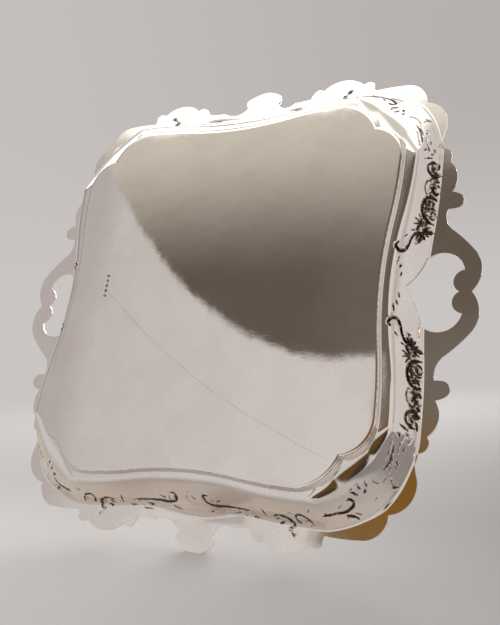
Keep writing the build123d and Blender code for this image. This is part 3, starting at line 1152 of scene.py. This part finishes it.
def upper_side(tree):
    """1 on a sheet's upper side and 0 beneath it."""
    return 1 - node(tree, "NewGeometry", output="Backfacing")


def seen_floor(tree, fade):
    """Where the camera sees a floor: from its upper side, fading out far away."""
    place = node(tree, "TexCoord", output="Object")
    near = 1 - between(vector_math("LENGTH", place, output=1), *fade)
    return upper_side(tree) * light_path(tree, "Is Camera Ray") * near


def floor_tone(tree, colour):
    """A floor's colour with a little grain."""
    place = node(tree, "TexCoord", output="Object")
    return blend(noise(place, 3.0, 3.0), tuple(channel * 0.98 for channel in colour), colour)


def matt(name, look):
    """A matt material, clear where it isn't shown. The function look gives its share and colour."""
    material = bpy.data.materials.new(name)
    material.use_nodes = True
    tree = material.node_tree
    tree.nodes.clear()
    shown, tone = look(tree)
    solid = node(tree, "BsdfDiffuse", {"Color": tone})
    clear = node(tree, "BsdfTransparent", {"Color": (1, 1, 1, 1)})
    mixed = node(tree, "MixShader", {0: shown, 1: clear, 2: solid})
    feed(tree, mixed, tree.nodes.new("ShaderNodeOutputMaterial").inputs["Surface"])
    return material


def table_look(tree):
    """The tray's own table, which only shows from above."""
    return seen_floor(tree, TABLE_FADE), floor_tone(tree, TABLE_TONE)


def floor_look(tree):
    """The leaning tray's floor, which is hidden by the table's upper side and mirrored by the tray, with
    painted shade and a painted reflection.
    """
    mirrored = light_path(tree, "Is Glossy Ray")
    across, _, height = along_axes(node(tree, "NewGeometry", output="Position"))
    under_table = height.math("LESS_THAN", 0.0)
    through_table = light_path(tree, "Transparent Depth").math("GREATER_THAN", 0.5)
    reached = under_table.math("MAXIMUM", through_table).math("MAXIMUM", mirrored)
    shown = seen_floor(tree, FLOOR_FADE).math("MAXIMUM", upper_side(tree) * mirrored) * reached

    # Painted shade on the floor: darker towards negative X and behind the tray
    shade_across = 0.62 + 0.35 * between(across, -0.45, 0.15)
    shade_behind = 1.0 - 0.17 * between(height, -0.02, 0.30)
    tone = scaled(floor_tone(tree, FLOOR_TONE), shade_across * shade_behind)
    # Painted reflection: to the silver the floor is lit far before the tray, darker below it, shadowed
    # warm behind it and dark far to its right
    painted_reflection = layered(
        REFLECTED_FLOOR_LIT,
        (height, -0.18, -0.08, REFLECTED_FLOOR_SHADED),
        (height, -0.04, 0.03, REFLECTED_FLOOR_SHADOW),
        (across, -0.31, -0.43, REFLECTED_FLOOR_DARK),
    )
    return shown, blend(mirrored, tone, painted_reflection)


def dark_side(v, cream):
    """The brown end of the dark room, beside which the wall turns cream at its foot."""
    brown = layered(
        (0.055, 0.040, 0.034),
        (v, 0.045, 0.085, (0.205, 0.105, 0.022)),  # amber above a dark foot
        (v, 0.16, 0.26, (0.165, 0.135, 0.112)),
        (v, 0.28, 0.42, (0.128, 0.097, 0.075)),
        (v, 0.55, 0.66, (0.76, 0.70, 0.60)),
        (v, 0.66, 0.71, (1.7, 1.65, 1.55)),  # the lit ceiling
    )
    return layered(cream, (v, 0.059, 0.064, brown))


def facing_wall(u, v, y, z):
    """The wall that faces the tray's base, by spots (u, v) on it."""
    shadow = layered(
        (0.150, 0.118, 0.097),
        (u, 0.42, 0.52, (0.122, 0.096, 0.078)),
        (v, 0.41, 0.69, (0.63, 0.575, 0.495)),  # lighter towards the ceiling
    )
    dull = layered((0.455, 0.415, 0.395), (v, 0.30, 0.60, (0.36, 0.325, 0.308)))
    cream = layered(
        (0.645, 0.597, 0.570),
        (u, 0.45, 0.90, (0.57, 0.525, 0.505)),
        (u, 0.84, 0.91, (0.485, 0.435, 0.418)),
        (u, 1.0, 1.15, dull),
        (u, 1.8, 2.6, (0.34, 0.305, 0.29)),
    )
    aside = u - 0.44
    wall = layered(cream, (v - (0.300 + 1.55 * (aside * aside)), -0.006, 0.008, shadow))
    reach = 0.385 + 0.070 * between(v, 0.20, 0.05)
    wall = layered(dark_side(v, cream), (u - reach, -0.012, 0.012, wall))

    far_side = between(u, 0.82, 0.94) * between(y, 0.57, 0.53)
    wall = blend(between(v, 0.672, 0.705) * (1 - far_side), wall, (1.9, 1.85, 1.75))
    pale = layered(
        (0.70, 0.645, 0.605),
        (z, -0.85, -0.48, (0.51, 0.445, 0.415)),
        (z, -0.36, -0.22, (0.64, 0.595, 0.57)),
    )
    turned = u - 0.28 * between(v, 0.35, 0.25)
    wall = layered(pale, (turned, -0.26, -0.14, wall))
    wall = layered((0.62, 0.575, 0.555), (v, -0.16, 0.00, wall))
    streak = layered((0.035, 0.030, 0.027), (u, -0.12, 0.00, (0.12, 0.062, 0.016)))
    return blend(slanting_streak(u, v), wall, streak)


def slanting_streak(u, v):
    """Where a dark thing stands low before the tray."""
    across = between(u, -0.28, -0.24) * between(u, 0.15, 0.11)
    upwards = between(v, -0.46, -0.42) * between(v, -0.13, -0.17)
    return across * upwards * between(abs(v - 1.1 * u + 0.22), 0.13, 0.09)


def sky(x, y, z):
    """Level and above the tray: pale walls, a dim band, and a bright soft box overhead."""
    tilt = z + (0.10 * x - 0.12 * y)
    return layered(
        WHITE_WALL,
        (tilt, 0.20, 0.36, (0.17, 0.155, 0.145)),
        (tilt, 0.42, 0.62, (0.95, 0.93, 0.90)),
        (x - y, 0.02, 0.16, (0.60, 0.565, 0.55)),
    )


def window(x, y, z, room):
    """The room with the light that comes in from behind the tray."""
    glow = between(y, 0.54, 0.62) * between(x, 0.55, 0.25) * between(z, 0.40, 0.20)
    bright = between(y, 0.84, 0.90).math("MAXIMUM", between(x, 0.05, 0.15))
    lit = blend(bright, (0.68, 0.63, 0.565), (1.45, 1.40, 1.32))
    return blend(glow, room, layered(lit, (x, -0.26, -0.45, WHITE_WALL)))


def world():
    """A soft studio: pale backdrop for the eye, and a lit room with one dark side for the silver."""
    made = bpy.data.worlds.new("studio")
    bpy.context.scene.world = made
    made.use_nodes = True
    tree = made.node_tree
    tree.nodes.clear()
    ray = node(tree, "TexCoord", output="Generated")
    x, y, z = along_axes(ray)
    down = (z * -1.0).math("MAXIMUM", 0.03)
    wall = facing_wall(x / down, y / down, y, z)
    room = window(x, y, z, layered(wall, (z, -0.10, -0.02, sky(x, y, z))))
    room = blend(light_path(tree, "Is Diffuse Ray"), room, (0.63, 0.595, 0.575))

    rise = vector_math("DOT_PRODUCT", ray, tuple(floor_up()), output=1)
    upper = layered((0.475, 0.44, 0.425), (x, 0.2, 0.75, (0.560, 0.526, 0.518)))
    backdrop = layered((0.590, 0.560, 0.545), (rise, -0.04, 0.20, upper))
    colour = blend(light_path(tree, "Is Camera Ray"), room, backdrop)
    light = node(tree, "Background", {"Color": colour, "Strength": 1.0})
    feed(tree, light, tree.nodes.new("ShaderNodeOutputWorld").inputs["Surface"])


def key_light():
    """A soft square light above and behind the tray."""
    data = bpy.data.lights.new("key", "AREA")
    data.shape = "SQUARE"
    data.size = KEY_SIZE
    data.energy = KEY_POWER
    made = linked("key", data)
    made.location = KEY_PLACE
    made.rotation_mode = "QUATERNION"
    made.rotation_quaternion = (-Vector(KEY_PLACE)).to_track_quat("-Z", "Y")


bpy.context.scene.view_settings.view_transform = "Standard"
camera()
stage_sheet("table", (0, 0, -0.0005), (0, 0, 1), 8.0, table_look)
stage_sheet("studio_floor", Vector(CREST_TIP) * MM, floor_up(), 6.0, floor_look)
world()
key_light()
well(silver("satin_silver", (0.93, 0.912, 0.895), 0.028, 0.8, scratched=True))
borders(silver("chased_silver", (0.94, 0.922, 0.905), 0.06, 0.5))
mounts(silver("cast_silver", (0.94, 0.915, 0.885), 0.13, 0.5))
